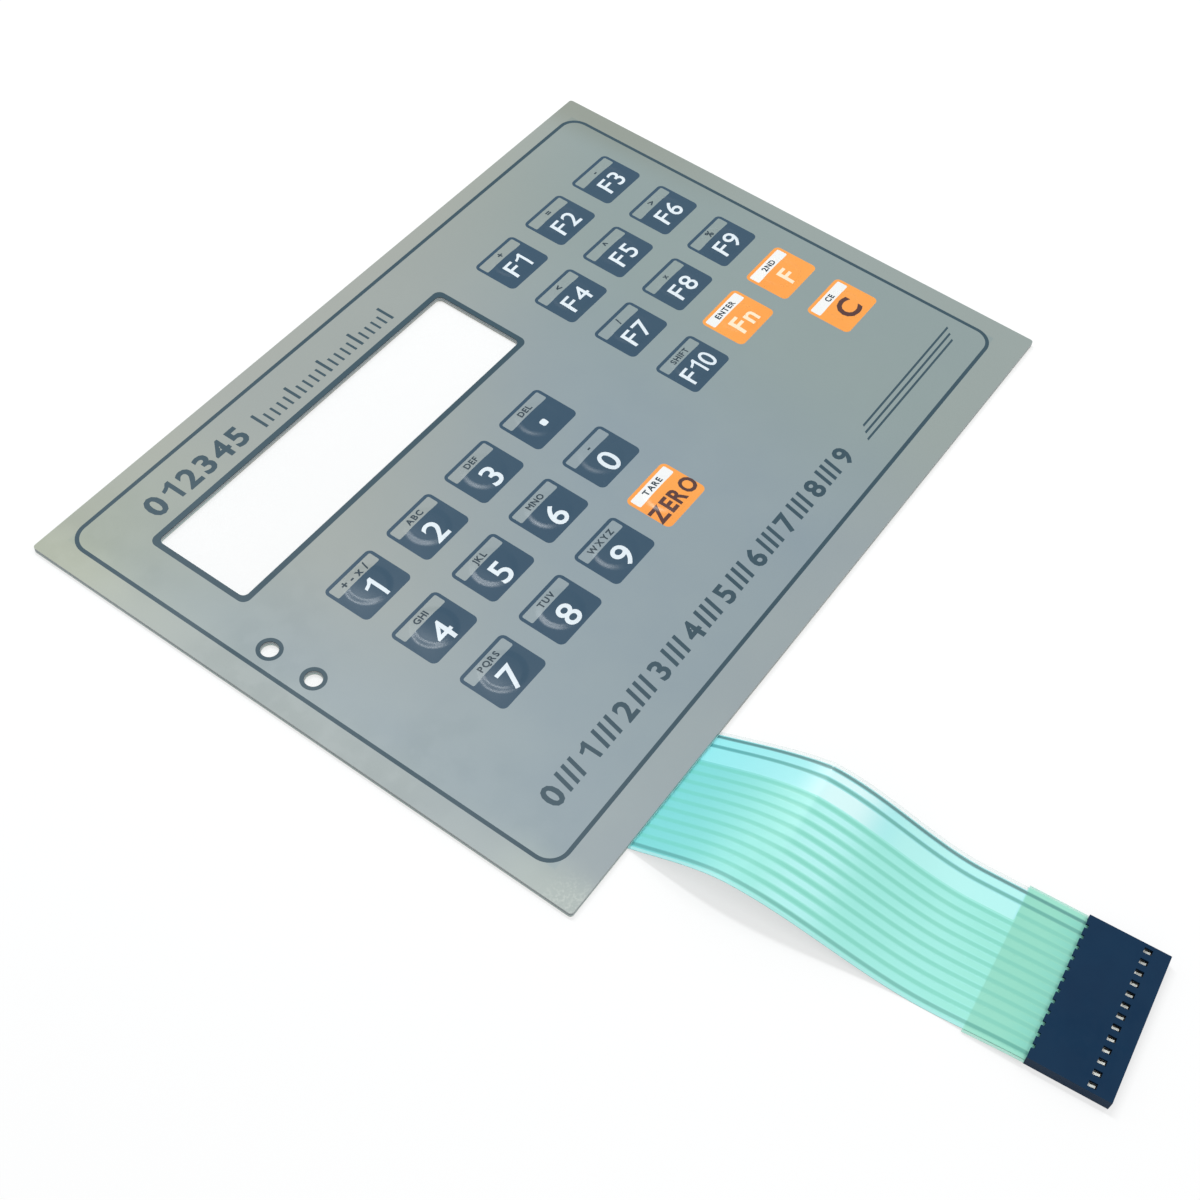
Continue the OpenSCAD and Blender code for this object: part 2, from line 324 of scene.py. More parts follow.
# %% Shader groups
SHADING = "ShaderNodeTree"
NOISE_SPAN = (0.3, 0.7)


def noise(place, scale, detail=2.0, roughness=0.5):
    """Give soft noise from 0 to 1 at a place, mostly between the two values of NOISE_SPAN."""
    inputs = {"Vector": place, "Scale": scale, "Detail": detail, "Roughness": roughness}
    return put(place.tree, "ShaderNodeTexNoise", inputs)["Fac"]


colour_drift, given = new_group("colour_drift", {
    "Vector": ORIGIN, "Colour": WHITE, "Drift colour": WHITE, "Scale": 50.0, "Amount": 0.5}, SHADING)
cloud = noise(given["Vector"], given["Scale"], 4.0, 0.6)
share = ramp(cloud, *NOISE_SPAN) * given["Amount"]
close_group(colour_drift, {"Colour": blend_colours(share, given["Colour"], given["Drift colour"])})

surface_grain, given = new_group("surface_grain", {
    "Vector": ORIGIN, "Scale": 4000.0, "Depth": 1e-6}, SHADING)
fine = noise(given["Vector"], given["Scale"])
wide = noise(given["Vector"], given["Scale"] * 0.12, 1.0)
close_group(surface_grain, {"Height": (fine + wide * 2.0) * given["Depth"]})

handling_marks, given = new_group("handling_marks", {
    "Vector": ORIGIN, "Scale": 40.0, "Clean roughness": 0.4, "Rubbed roughness": 0.5}, SHADING)
patches = ramp(noise(given["Vector"], given["Scale"], 3.0), 0.42, 0.66)
specks = ramp(noise(given["Vector"], given["Scale"] * 9.0), 0.35, 0.6, 0.4, 1.0)
rougher = (given["Rubbed roughness"] - given["Clean roughness"]) * patches * specks
close_group(handling_marks, {"Roughness": given["Clean roughness"] + rougher})

drawn_lines, given = new_group("drawn_lines", {
    "Vector": ORIGIN, "Stretch": (1.0, 40.0, 1.0), "Scale": 900.0, "Depth": 1e-6}, SHADING)
squeezed = vector_calc("MULTIPLY", given["Vector"], given["Stretch"])
streak = noise(squeezed, given["Scale"], 3.0, 0.7)
close_group(drawn_lines, {"Height": streak * given["Depth"]})
print("shader groups:", [group.name for group in bpy.data.node_groups])

# %% [markdown]
# ## One maker for every finish
# A finish is a Principled BSDF with three of the groups in front of it. What is the same all over, such
# as metallic or alpha, is set on the shader's own sockets. Colours are screen values. A few nodes get a
# name, so that later cells can find them in a finish.

# %% The finish maker
RUB_SPREAD = 1.4


def effect(group, place, inputs, **settings):
    """Add a shader group at a place and give its first output."""
    return put(place.tree, "ShaderNodeGroup", {"Vector": place, **inputs}, node_tree=group, **settings)


def new_finish(name, colour, drift, roughness, grain, spread=20, amount=0.5, shine=0.5, **plain):
    """Make a material. Roughness is clean and rubbed, grain is its size and depth in mm."""
    made = bpy.data.materials.new(name)
    made.use_nodes = True
    tree = made.node_tree
    place = put(tree, "ShaderNodeTexCoord", name="place")["Object"]
    tone = effect(colour_drift, place, {
        "Colour": screen(colour), "Drift colour": screen(drift), "Scale": 1 / (spread * MM),
        "Amount": amount}, name="tone")
    marks = effect(handling_marks, place, {
        "Scale": 1 / (RUB_SPREAD * spread * MM), "Clean roughness": roughness[0],
        "Rubbed roughness": roughness[1]})
    texture = effect(surface_grain, place, {"Scale": 1 / (grain[0] * MM), "Depth": grain[1] * MM})
    bump = put(tree, "ShaderNodeBump", {"Height": texture, "Strength": 1, "Distance": 1}, name="bump")
    fill(tree.nodes["Principled BSDF"], {
        "Base Color": tone, "Roughness": marks, "Normal": bump, "Specular IOR Level": shine, **plain})
    return made


def read(material, node, output):
    """Give an output of a node that a finish already has."""
    return Value(material.node_tree.nodes[node].outputs[output])


def tint(material, share, colour, amount=1.0):
    """Lay a further colour over a material's base colour, by a share from 0 to 1."""
    base = material.node_tree.nodes["Principled BSDF"].inputs["Base Color"]
    under = Value(base.links[0].from_socket)
    fill(base.node, {"Base Color": blend_colours(share * amount, under, screen(colour))})

# %% [markdown]
# ## Finishes of the printed film
# The top film is polyester, printed on its back. Its front is finely matte, but smoother on the keys.
# The ground is a cool grey that has yellowed at the left end.

# %% Printed film finishes
FILM_GRAIN = (0.16, 0.0016)
FILM_ROUGHNESS = (0.36, 0.46)
KEY_GRAIN = (0.3, 0.0003)
KEY_ROUGHNESS = (0.23, 0.29)
INK_SPREAD = 30


def new_ink(name, colour, drift, key=False, shine=0.5):
    """Make the finish of one ink under the film, on the matte ground or on a smoother key."""
    roughness, grain = (KEY_ROUGHNESS, KEY_GRAIN) if key else (FILM_ROUGHNESS, FILM_GRAIN)
    return new_finish(name, colour, drift, roughness, grain, INK_SPREAD, shine=shine)


ground_ink = new_ink("ground_ink", (142, 157, 163), (134, 150, 160), shine=0.35)
key_ink = new_ink("key_ink", (55, 82, 103), (61, 87, 105), key=True, shine=0.23)
slate_ink = new_ink("slate_ink", (55, 79, 91), (61, 85, 97), shine=0.2)
orange_ink = new_ink("orange_ink", (253, 160, 68), (255, 172, 78), key=True)
white_ink = new_ink("white_ink", (246, 246, 244), (236, 240, 242))
legend_ink = new_ink("legend_ink", (232, 242, 248), (220, 232, 242), key=True)
cream_ink = new_ink("cream_ink", (255, 238, 206), (255, 230, 196), key=True)
brown_ink = new_ink("brown_ink", (84, 44, 38), (70, 44, 44), key=True)
label_ink = new_ink("label_ink", (44, 62, 74), (52, 70, 80), shine=0.2)
film_core = new_ink("film_core", (176, 184, 182), (160, 170, 170))
clear_window = new_finish("clear_window", (235, 240, 240), (225, 232, 232), (0.12, 0.2), (0.3, 0.0004),
                          Alpha=0.05)

# %% Age, wear, tone and painted light of the ground
spot = read(ground_ink, "place", "Object")
x = axes_of(spot)["X"] / MM
y = axes_of(spot)["Y"] / MM
cloudy = ramp(noise(spot, 26.0, 3.0), *NOISE_SPAN, 0.7, 1.0)


def away_from(*corner):
    """Give how far a place of the ground is from a point on the panel, in millimetres."""
    return vector_calc("DISTANCE", spot, tuple(size * MM for size in corner))["Value"] / MM


# The ground turns from a bluish grey to a greener one towards the right, and to a warmer one towards
# the top, where painted light also makes it lighter. The warm, lighter part starts at a line that
# slants up to the right, and is weaker at the left.
tint(ground_ink, ramp(x, 5, 60), (141, 156, 154), 0.85)
warm_tone_and_painted_light = ramp(y - x * 0.575, -10, 60) * ramp(x, -90, -55, 0.25, 1.0)
tint(ground_ink, warm_tone_and_painted_light, (161, 165, 157), 0.7)

# A painted sheen makes the left border paler, most of all towards its ends.
# The ground is also yellow towards the top left corner.
to_ends = calc("MAXIMUM", ramp(y, 20, 60), ramp(y, -45, -60))
painted_sheen_left = ramp(x, -85, -94) * cloudy * (to_ends * 0.3 + 0.12)
tint(ground_ink, painted_sheen_left, (188, 200, 188))
yellow = ramp(away_from(-96.5, 70.8, 1.3), 62, 4) * cloudy
tint(ground_ink, yellow, (166, 171, 144), 0.55)

# The top right corner is a darker, greener grey.
dark_corner = ramp(x, 82, 94) * ramp(y, 0, 60)
tint(ground_ink, dark_corner, (130, 138, 128), 0.7)

# Fine pale scuffs lie at the bottom left corner, where the film has been bent.
scratchy = ramp(noise(spot, 1800.0, 3.0, 0.6), 0.45, 0.65)
scuffed = ramp(away_from(-95.5, -69.5, 1.3), 9, 1) * scratchy
tint(ground_ink, scuffed, (214, 222, 216), 0.35)
print("inks:", [m.name for m in bpy.data.materials if m.name.endswith("_ink")])

# %% [markdown]
# ## Outlines of the print
# A screen printer cuts one stencil for each ink. Here too each ink gets a list of outlines. Boxes,
# discs and rows of bars repeat, so a Geometry Nodes tree draws them on every point that it is given.
# Letters come from Blender's own font. The outlines are then read back from the meshes.

# %% Run a tree and read its outlines
def plain_mesh(carrier):
    """Give the mesh that an object shows, and remove the object with its data."""
    graph = bpy.context.evaluated_depsgraph_get()
    result = bpy.data.meshes.new_from_object(carrier.evaluated_get(graph), depsgraph=graph)
    bpy.data.batch_remove([carrier, carrier.data])
    return result


def grow(name, mesh, *steps):
    """Run trees one after another on a mesh, each with its named inputs, and give the plain result."""
    carrier = add_object(name, mesh)
    for tree, values in steps:
        modifier = carrier.modifiers.new(tree.name, "NODES")
        modifier.node_group = tree
        for socket in tree.interface.items_tree:
            if socket.name in values:
                modifier[socket.identifier] = values[socket.name]
    result = plain_mesh(carrier)
    result.name = name
    return result


def points_mesh(places):
    """Make a mesh of loose points from places in millimetres."""
    mesh = bpy.data.meshes.new("points")
    mesh.from_pydata([(x * MM, y * MM, 0) for x, y in places], [], [])
    return mesh


def trace_outlines(mesh):
    """Walk round the open edges of a flat mesh and list each outline's points in millimetres."""
    uses = Counter(edge for face in mesh.polygons for edge in face.edge_keys)
    beside = {}
    for (first, second), count in uses.items():
        if count == 1:
            beside.setdefault(first, []).append(second)
            beside.setdefault(second, []).append(first)
    outlines = []
    while beside:
        start = here = next(iter(beside))
        outline = []
        while True:
            outline.append(mesh.vertices[here].co.xy / MM)
            onward = beside[here].pop()
            beside[onward].remove(here)
            for point in {here, onward}:
                if not beside[point]:
                    del beside[point]
            here = onward
            if here == start:
                break
        outlines.append(outline)
    bpy.data.meshes.remove(mesh)
    return outlines

# %% Tree for boxes and rows of bars
def end_group(given, instances, material, **chosen):
    """Make instances real, give them a material and let the group put them out."""
    real = put(given.tree, "GeometryNodeRealizeInstances", {0: instances})
    done = put(given.tree, "GeometryNodeSetMaterial", {"Geometry": real, "Material": material, **chosen})
    close_group(given.tree, {"Result": done})


stencil_shapes, given = new_group("stencil_shapes", {
    "Starts": "Geometry", "Width": 0.01, "Height": 0.01, "Slant": 0.0, "Corner radius": 0.001,
    "Corner steps": 6, "Count": 1, "Step": ORIGIN, "Ink": "Material"})
line = put(stencil_shapes, "GeometryNodeCurvePrimitiveQuadrilateral", {
    "Width": given["Width"], "Height": given["Height"], "Offset": given["Slant"]}, mode="PARALLELOGRAM")
soft_line = put(stencil_shapes, "GeometryNodeFilletCurve", {
    "Curve": line, "Radius": given["Corner radius"], "Count": given["Corner steps"]}, mode="POLY")
face = put(stencil_shapes, "GeometryNodeFillCurve", {"Curve": soft_line}, mode="NGONS")
places = put(stencil_shapes, "GeometryNodeMeshLine", {"Count": given["Count"], "Offset": given["Step"]})
shapes = put(stencil_shapes, "GeometryNodeInstanceOnPoints", {"Points": places, "Instance": face})
row = put(stencil_shapes, "GeometryNodeRealizeInstances", {0: shapes})
rows = put(stencil_shapes, "GeometryNodeInstanceOnPoints", {"Points": given["Starts"], "Instance": row})
end_group(given, rows, given["Ink"])

# The stencil of each ink of the film, in the order of printing.
stencils = {ink: [] for ink in (ground_ink, slate_ink, key_ink, orange_ink, white_ink, legend_ink,
                                cream_ink, brown_ink, label_ink, clear_window)}


def boxes(starts, box, ink, steps=6, margin=0.0, slant=0.0, count=1, step=0.0):
    """Draw a box, or a row of them, at every start. A box is its width, height and corner radius in mm."""
    width, height, radius = box
    stencils[ink] += trace_outlines(grow("stencil", points_mesh(starts), (stencil_shapes, {
        "Width": (width + 2 * margin) * MM, "Height": (height + 2 * margin) * MM, "Slant": slant * MM,
        "Corner radius": (radius + margin) * MM, "Corner steps": steps, "Count": count,
        "Step": (step * MM, 0, 0), "Ink": ink})))

# %% Letters
CAPITAL = 0.729
SPACE_WIDTH = 0.3
SMOOTH_WEIGHT = 0.02


def figure_one(stem):
    """List the outline of a figure one with a flag, on a capital's height of 1."""
    right = 0.3 + stem
    return [(0.3, 0), (right, 0), (right, 1), (right - 0.8 * stem, 1), (0.2, 0.86), (0, 0.78),
            (0, 0.78 - 0.9 * stem), (0.16, 0.86 - 1.1 * stem), (0.3, 0.94 - 1.1 * stem)]


def character_outlines(character, weight):
    """List a character's outlines on a capital's height of 1, in Blender's own font or as drawn here."""
    if character == "1":
        return [[Vector(point) for point in figure_one(0.12 + 2 * weight)]]
    font = bpy.data.curves.new("lettering", "FONT")
    font.body = character
    font.offset = weight
    # Heavy letters only close with coarser curves.
    font.resolution_u = 6 if weight < SMOOTH_WEIGHT else 3
    shape = plain_mesh(add_object("lettering", font))
    return [[point * MM / CAPITAL for point in outline] for outline in trace_outlines(shape)]


def lettering(text, centre, height, ink, wide=1.0, weight=0.0, gap=0.16):
    """Set a text round a centre, with capitals of a height in millimetres."""
    pen = 0.0
    placed = []
    for character in text:
        if character == " ":
            pen += SPACE_WIDTH
            continue
        outlines = character_outlines(character, weight)
        across = [point.x for outline in outlines for point in outline]
        shift = Vector((pen - min(across), 0))
        placed += [[point + shift for point in outline] for outline in outlines]
        pen += max(across) - min(across) + gap
    middle = Vector(((pen - gap) / 2, 0.5))
    scale = Vector((height * wide, height))
    stencils[ink] += [[Vector(centre) + (point - middle) * scale for point in outline] for outline in placed]

# %% [markdown]
# ## What is printed where
# The print follows the keys, whose centres are those of the snap domes in the frame. Each dark key is a
# box with a strip left open at its top for a small label. Orange keys have a white strip. The rest is a
# frame line, a border round the display window, two indicator rings, and plain scales for headings.

# %% Key centres
KEY_PREFIX = "snap_dome_"
ORANGE_KEYS = ("zero", "fn", "f", "clear")


def centre_of(node):
    """Give the middle of a node's box, seen from above, in millimetres."""
    low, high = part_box(node)
    return (Vector(low) + Vector(high)).xy / 2 / MM


key_centres = {name[len(KEY_PREFIX):]: centre_of(name) for name in nodes if name.startswith(KEY_PREFIX)}
orange_centres = [key_centres[name] for name in ORANGE_KEYS]
dark_centres = [place for name, place in key_centres.items() if name not in ORANGE_KEYS]
panel_low, panel_high = [Vector(corner).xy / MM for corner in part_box("graphic_overlay")]
panel_size = panel_high - panel_low
print("dark keys:", len(dark_centres), "orange keys:", len(orange_centres))
print("panel in mm:", [round(size, 2) for size in panel_size])

# %% Stencils for the keys
KEY_BOX = (15.0, 12.2, 1.4)
KEY_WIDTH, KEY_HEIGHT, _ = KEY_BOX
KEY_LINE = 0.85
STRIP_HEIGHT = 2.85
STRIP_BOX = (KEY_WIDTH - 2 * KEY_LINE, STRIP_HEIGHT, 0.4)
STRIP_RISE = Vector((0, KEY_HEIGHT / 2 - KEY_LINE - STRIP_HEIGHT / 2))

for centres, key_colour, strip_colour in (
        (dark_centres, key_ink, key_ink), (orange_centres, orange_ink, white_ink)):
    boxes(centres, KEY_BOX, key_colour)
    boxes([place + STRIP_RISE for place in centres], STRIP_BOX, strip_colour)
print("outlines of dark keys:", len(stencils[key_ink]))

# %% Stencil for the lines
INSET_LOW = Vector((5.8, 8.3))
INSET_HIGH = Vector((5.6, 4.4))
FRAME_LINE = 0.95
FRAME_CORNER = 4.6
FRAME_STEPS = 12
WINDOW_CENTRE = (-31.45, 39.35)
WINDOW_SIZE = (95.4, 24.4)
WINDOW_CORNER = 1.4
WINDOW_BORDER = 1.4
BORDER_CORNER = 1.9
INDICATORS = ((-85.7, 14.2), (-85.7, 2.4))
INDICATOR_DISC = (3.9, 3.9, 1.95)
INDICATOR_RING = 0.92
RING_STEPS = 10

frame_low = panel_low + INSET_LOW
frame_high = panel_high - INSET_HIGH
frame_centre = (frame_low + frame_high) / 2
frame_size = frame_high - frame_low
for margin in (FRAME_LINE / 2, -FRAME_LINE / 2):
    boxes([frame_centre], (*frame_size, FRAME_CORNER), slate_ink, FRAME_STEPS, margin)
boxes([WINDOW_CENTRE], (*WINDOW_SIZE, BORDER_CORNER - WINDOW_BORDER), slate_ink, margin=WINDOW_BORDER)
boxes([WINDOW_CENTRE], (*WINDOW_SIZE, WINDOW_CORNER), clear_window)
boxes(INDICATORS, INDICATOR_DISC, slate_ink, RING_STEPS, INDICATOR_RING)
boxes(INDICATORS, INDICATOR_DISC, clear_window, RING_STEPS)
stencils[slate_ink] += stencils[clear_window]
print("outlines of frame, window and rings:", len(stencils[slate_ink]))

# %% The paler border
# Outside the frame line the ground is a little paler and warmer. How far a place is past the line is
# the larger of its distances past the line's sides, along X and along Y.
from_centre = vector_calc("ABSOLUTE", vector_calc("SUBTRACT", spot, (*frame_centre * MM, 0)))
past = axes_of(vector_calc("SUBTRACT", from_centre, (*frame_size / 2 * MM, 0)))
past_line = calc("MAXIMUM", past["X"], past["Y"]) / MM
tint(ground_ink, ramp(past_line, -0.3, 0.3), (207, 198, 178), 0.11)

# %% Stripes and scales in the dark ink
HEAVY = 0.03
BOLD_WIDTH = 1.1
stripe_starts = [(66.2 - 1.5 * row, -51.6 - 1.5 * row) for row in range(3)]
boxes(stripe_starts, (41.4, 0.55, 0), slate_ink, 1, slant=0.35)


def numbers_in_row(count, start, step, height):
    """Set the numbers from 0 in a row in heavy figures."""
    for number in range(count):
        lettering("%d" % number, (start[0] + step * number, start[1]), height, slate_ink, BOLD_WIDTH, HEAVY)


# A level scale over the display: bold numbers, then a ruler with a long mark at every fifth step.
RULER_START = -40.6
RULER_STEP = 2.2
long_marks = [(RULER_START + 5 * RULER_STEP * n, 57.7) for n in range(5)]
short_marks = [(RULER_START + RULER_STEP * (5 * n + 1), 56.9) for n in range(4)]
numbers_in_row(6, (-72.6, 58.6), 5.1, 5.7)
boxes(long_marks, (0.8, 5.0, 0), slate_ink, 1)
boxes(short_marks, (0.65, 3.2, 0), slate_ink, 1, count=4, step=RULER_STEP)

# A numbered row of slanted bars along the bottom.
BAND_START = (-78.0, -52.4)
BAND_STEP = 12.5
BAND_HEIGHT = 5.1
FIRST_BAR = 3.9
bar_starts = [(BAND_START[0] + BAND_STEP * n + FIRST_BAR, BAND_START[1]) for n in range(9)]
numbers_in_row(10, BAND_START, BAND_STEP, BAND_HEIGHT)
boxes(bar_starts, (1.0, BAND_HEIGHT, 0), slate_ink, 1, slant=1.1, count=3, step=2.2)
print("outlines in the dark ink:", len(stencils[slate_ink]))

# %% Legends and labels
NUMBER_TOP = 5.2
NUMBER_HEIGHT = 5.8
FUNCTION_TOP = 5.3
FUNCTION_HEIGHT = 5.0
LABEL_HEIGHT = 1.6
LABEL_WEIGHT = 0.035
SIGN_HEIGHT = 2.0
POINT_TOP = 7.0
POINT_SIZE = 1.8
STRIP_LABELS = {
    "1": "+ - x /", "2": "ABC", "3": "DEF", "4": "GHI", "5": "JKL", "6": "MNO", "7": "PQRS", "8": "TUV",
    "9": "WXYZ", "0": "-", "point": "DEL", "f1": "+", "f2": "=", "f3": "-", "f4": "<", "f5": "^",
    "f6": ">", "f7": "/", "f8": "x", "f9": "%", "f10": "SHIFT", "zero": "TARE", "fn": "ENTER", "f": "2ND",
    "clear": "CE"}


def on_key(name, top, height):
    """Give the centre of a legend whose top is some way below the key's top edge."""
    return key_centres[name] + Vector((0, KEY_HEIGHT / 2 - top - height / 2))


def legend(text, name, top, height, *look):
    """Set a key's legend. Its look is its ink, how wide and how heavy it is, and its gap."""
    lettering(text, on_key(name, top, height), height, *look)


for name in "1234567890":
    legend(name, name, NUMBER_TOP, NUMBER_HEIGHT, legend_ink, 1.16, 0.012)
for number in range(1, 11):
    wide = 1.2 if number < 10 else 1.1
    legend("F%d" % number, "f%d" % number, FUNCTION_TOP, FUNCTION_HEIGHT, legend_ink, wide, 0.008)
boxes([on_key("point", POINT_TOP, POINT_SIZE)], (POINT_SIZE, POINT_SIZE, 0.5), legend_ink)
legend("Fn", "fn", FUNCTION_TOP, FUNCTION_HEIGHT, cream_ink, 1.15, 0.02)
legend("F", "f", FUNCTION_TOP, FUNCTION_HEIGHT, cream_ink, 1.15, 0.02)
legend("ZERO", "zero", 5.9, 4.3, brown_ink, 0.88, 0.035, 0.13)
legend("C", "clear", 4.7, 5.8, brown_ink, 1.1, 0.03)
for name, label in STRIP_LABELS.items():
    height = LABEL_HEIGHT if label[0].isalnum() else SIGN_HEIGHT
    lettering(label, key_centres[name] + STRIP_RISE, height, label_ink, 1.0, LABEL_WEIGHT)
print("outlines in each ink:", {ink.name: len(outlines) for ink, outlines in stencils.items()})

# %% [markdown]
# ## Cutting the film along its print
# The print is under the film, so the surface has no steps at the edge of an ink. The film is one flat
# mesh, cut along every outline, and each triangle takes the top ink that covers it. A constrained
# Delaunay triangulation keeps all outlines as edges and says which outlines each triangle lies in.
# A triangle is inked where it lies in an odd number of them.
# Circles round each key, called seams here, give the raised rings enough points.

# %% The sheet cutter
CUT_TOLERANCE = 1e-4


def turned_left(outline):
    """List an outline anticlockwise, which the triangulation needs to know its inside."""
    doubled_area = sum(here.cross(onward) for here, onward in zip(outline, outline[1:] + outline[:1]))
    return outline if doubled_area > 0 else outline[::-1]


def cut_sheet(name, layers, seams):
    """Cut a flat sheet. Each layer is a material with outlines, the first is the sheet itself."""
    points, edges, faces, layer_of, kept, inks = [], [], [], [], [], []
    for number, outlines in enumerate(layers.values()):
        for outline in outlines:
            faces.append(list(range(len(points), len(points) + len(outline))))
            layer_of.append(number)
            points += turned_left(outline)
    for seam in seams:
        edges += [(len(points) + n, len(points) + n + 1) for n in range(len(seam) - 1)]
        points += seam
    corners, _, triangles, _, _, inside = delaunay_2d_cdt(points, edges, faces, 0, CUT_TOLERANCE, True)
    for triangle, owners in zip(triangles, inside):
        odd = [n for n, count in Counter(layer_of[face] for face in owners).items() if count % 2]
        if 0 in odd:
            kept.append(triangle)
            inks.append(max(odd))
    used = sorted({corner for triangle in kept for corner in triangle})
    renamed = {corner: n for n, corner in enumerate(used)}
    mesh = bpy.data.meshes.new(name)
    mesh.from_pydata([(*corners[n] * MM, 0) for n in used], [],
                     [[renamed[corner] for corner in triangle] for triangle in kept])
    for material in layers:
        mesh.materials.append(material)
    mesh.polygons.foreach_set("material_index", inks)
    print(name, "triangles:", len(kept), "facing up:", sum(f.normal.z > 0 for f in mesh.polygons))
    return mesh


def circle(centre, radius, count, turn):
    """List a closed circle, its first point given again at the end. It is turned by a share of one step."""
    angles = [math.tau * (n + turn) / count for n in range(count + 1)]
    return [centre + Vector((math.cos(angle), math.sin(angle))) * radius for angle in angles]

# %% [markdown]
# ## Raising the rings
# The rings are pressed into the printed film with a heated tool: a soft step all round, and a slight
# crown over the dome. A Geometry Nodes tree does it. It measures how far each point is from the nearest
# key centre, moves it up by the height there, and gives the sheet its thickness. The print stays sharp,
# because the pressed sheet keeps every edge of the flat one.

# %% Lift and thickness of a sheet
JOIN_DISTANCE = 1e-7


def lift(sheet, height):
    """Move each point of a sheet up by a height."""
    up = put(sheet.tree, "ShaderNodeCombineXYZ", {"Z": height})
    return put(sheet.tree, "GeometryNodeSetPosition", {"Geometry": sheet, "Offset": up})


def close_film(given, sheet):
    """Thicken a sheet downwards, give its cut faces their material and end the group."""
    down = put(sheet.tree, "ShaderNodeCombineXYZ", {"Z": given["Thickness"] * -1})
    lower = put(sheet.tree, "GeometryNodeExtrudeMesh", {
        "Mesh": sheet, "Offset": down, "Offset Scale": 1.0, "Individual": False})
    film = put(sheet.tree, "GeometryNodeJoinGeometry", {0: sheet})
    fill(film.node, {0: put(sheet.tree, "GeometryNodeFlipFaces", {"Mesh": lower["Mesh"]})})
    closed = put(sheet.tree, "GeometryNodeMergeByDistance", {0: film, "Distance": JOIN_DISTANCE})
    end_group(given, closed, given["Edge"], Selection=lower["Side"])

# %% Tree that presses the keys
FOOT_RADIUS = 5.6
SLOPE_WIDTH = 2.0
press_keys, given = new_group("press_keys", {
    "Sheet": "Geometry", "Key centres": "Object", "Top height": 1.37 * MM, "Foot radius": FOOT_RADIUS * MM,
    "Slope width": SLOPE_WIDTH * MM, "Ring height": 0.2 * MM, "Crown": 0.08 * MM, "Thickness": 0.2 * MM,
    "Edge": "Material"})
centres = put(press_keys, "GeometryNodeObjectInfo", {"Object": given["Key centres"]})["Geometry"]
reach = put(press_keys, "GeometryNodeProximity", {0: centres}, target_element="POINTS")["Distance"]
rim = given["Foot radius"] - given["Slope width"]
down_slope = calc("DIVIDE", reach - rim, given["Slope width"], use_clamp=True)
step = calc("COSINE", down_slope * math.pi) * 0.5 + 0.5
from_middle = calc("DIVIDE", reach, rim, use_clamp=True)
dome = 1 - from_middle * from_middle
height = dome * given["Crown"] + step * given["Ring height"] + given["Top height"]
close_film(given, lift(given["Sheet"], height))

# %% The printed film
RIM_RADIUS = FOOT_RADIUS - SLOPE_WIDTH
RING_POINTS = 84
SLOPE_STEPS = 9
CROWN_SEAMS = ((0.2, 16), (0.45, 36), (0.7, 56), (0.88, RING_POINTS))
PANEL_CORNER = 0.8
SMOOTH_ANGLE = math.radians(35)
key_seams = [(RIM_RADIUS * share, count) for share, count in CROWN_SEAMS]
key_seams += [(RIM_RADIUS + SLOPE_WIDTH * n / SLOPE_STEPS, RING_POINTS) for n in range(SLOPE_STEPS + 1)]


def add_piece(name, mesh, slot, *replaced):
    """Make an object of a finished mesh, smooth where it is soft, and let it ride on the body."""
    mesh.shade_smooth()
    mesh.set_sharp_from_angle(angle=SMOOTH_ANGLE)
    piece = add_object(name, mesh)
    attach(piece, "root")
    if replaced:
        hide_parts(*replaced)
    print(name, "faces:", len(mesh.polygons))


boxes([(panel_low + panel_high) / 2], (*panel_size, PANEL_CORNER), ground_ink)
seams = [circle(place, radius, count, 0.5 * (number % 2)) for place in key_centres.values()
         for number, (radius, count) in enumerate(key_seams)]
flat_print = cut_sheet("printed_overlay", stencils, seams)
key_points = add_object("key_points", points_mesh(key_centres.values()))
pressed_print = grow("printed_overlay", flat_print, (press_keys, {
    "Key centres": key_points, "Edge": film_core}))
bpy.data.objects.remove(key_points)
add_piece("printed_overlay", pressed_print, "overlay_film", "graphic_overlay")

# %% [markdown]
# ## The film with the tail
# The lower circuit is one film: a panel sized sheet with a tail cut from the same piece. Conductors
# run down the tail under a blue green insulating ink. The tail rises in a hump and sinks again before
# the socket. Seen from above it is straight, so the film can be cut flat and lifted. The tree works out
# where a point is along and across the tail, and lifts it on the CAD model's cubic curves, one for each
# edge, because the hump is higher at the right, where it also ends in a crease.

# %% Tail sizes
TAIL_EXIT = Vector((-61.3, -70.85))
TAIL_WIDTH = 33.2
TAIL_LENGTH = 82.3
TAIL_SKEW = math.radians(5.5)
TAB_WIDTH = 31.98
TAB_LENGTH = 6.4
SQUARE_AT = 26.0
STIFF_FROM = TAIL_LENGTH * 34 / 40
WAY_PITCH = 2.54
WAYS = 13
exit_place = (TAIL_EXIT.x * MM, TAIL_EXIT.y * MM, 0.0)
tail_turn = Matrix.Rotation(TAIL_SKEW, 2)


def way_across(way):
    """Give a way's distance from the tail's middle line, way 1 at the right."""
    return ((WAYS + 1) / 2 - way) * WAY_PITCH


def tail_point(across, along):
    """Turn a place on the tail into the panel's plan. Near the exit, lines across follow the edge."""
    share = 1 - min(max(along / SQUARE_AT, 0), 1)
    return TAIL_EXIT + tail_turn @ Vector((across, -along - across * math.tan(TAIL_SKEW) * share))


def along_and_across(place, given):
    """Give how far a place is along and across the tail, in a tree that knows the tail's exit and skew."""
    from_exit = vector_calc("SUBTRACT", place, given["Exit"])
    turned = put(place.tree, "ShaderNodeVectorRotate", {"Vector": from_exit, "Angle": given["Skew"] * -1},
                 rotation_type="Z_AXIS")
    return axes_of(turned)["Y"] * -1, axes_of(turned)["X"]

